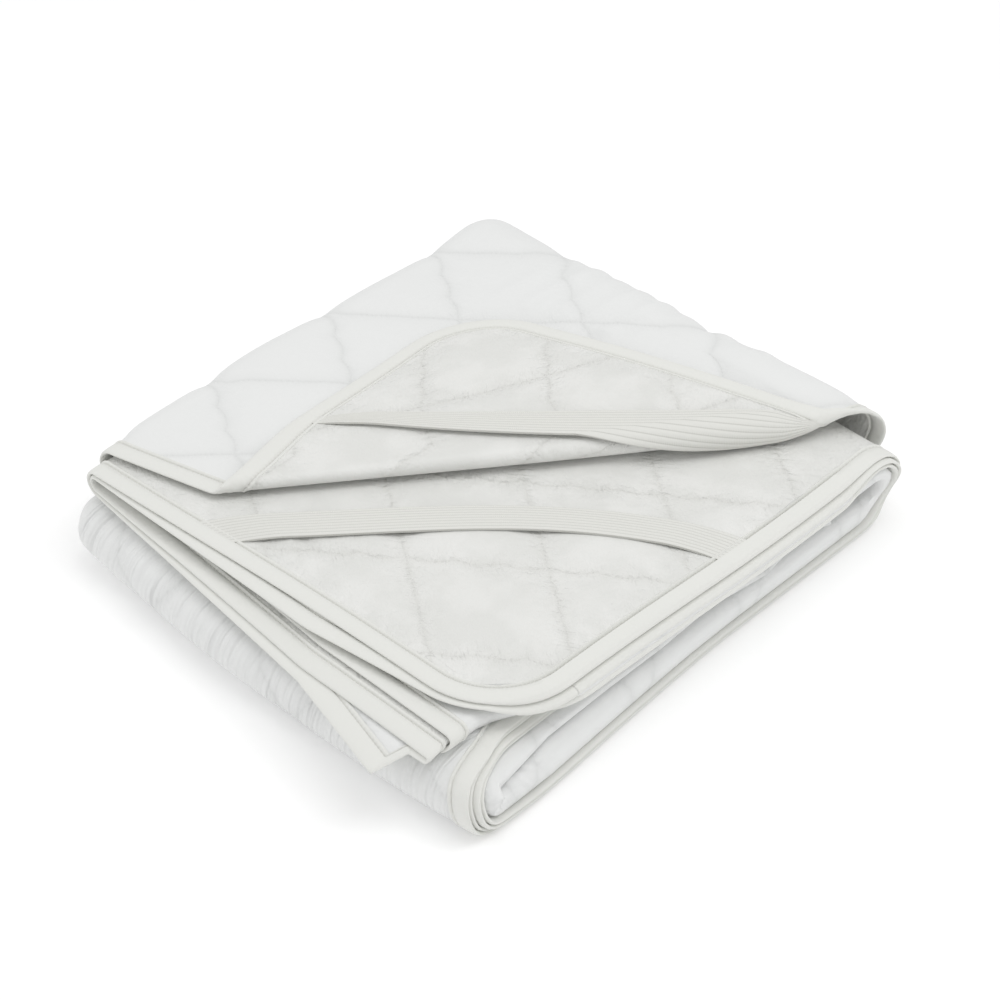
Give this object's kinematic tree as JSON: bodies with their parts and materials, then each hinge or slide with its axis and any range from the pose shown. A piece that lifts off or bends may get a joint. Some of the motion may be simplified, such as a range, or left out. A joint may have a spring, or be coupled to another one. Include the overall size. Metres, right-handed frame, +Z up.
{
  "type": "waterproof mattress protector",
  "caption": "Folded quilted waterproof mattress protector with bound edges, elastic corner straps and one top corner turned back.",
  "frame": {"origin": "centre of the bounding box at the underside, on the surface it rests on", "axes": "+Z up; -Y towards the folded roll and the bound short edges; +X towards the bound long edges; -X towards the plain fold"},
  "size_m": [0.322, 0.3899, 0.0789],
  "materials": {
    "quilted_pad": "soft quilted cotton, with a smooth waterproof back",
    "binding": "woven cotton tape",
    "strap_on_the_lower_layer": "ribbed elastic",
    "strap_on_the_turned_corner": "ribbed elastic"
  },
  "bodies": {
    "root": {"quilted_pad": "quilted_pad", "binding": "binding", "strap_on_the_lower_layer": "strap_on_the_lower_layer", "strap_on_the_turned_corner": "strap_on_the_turned_corner"}
  },
  "joints": []
}
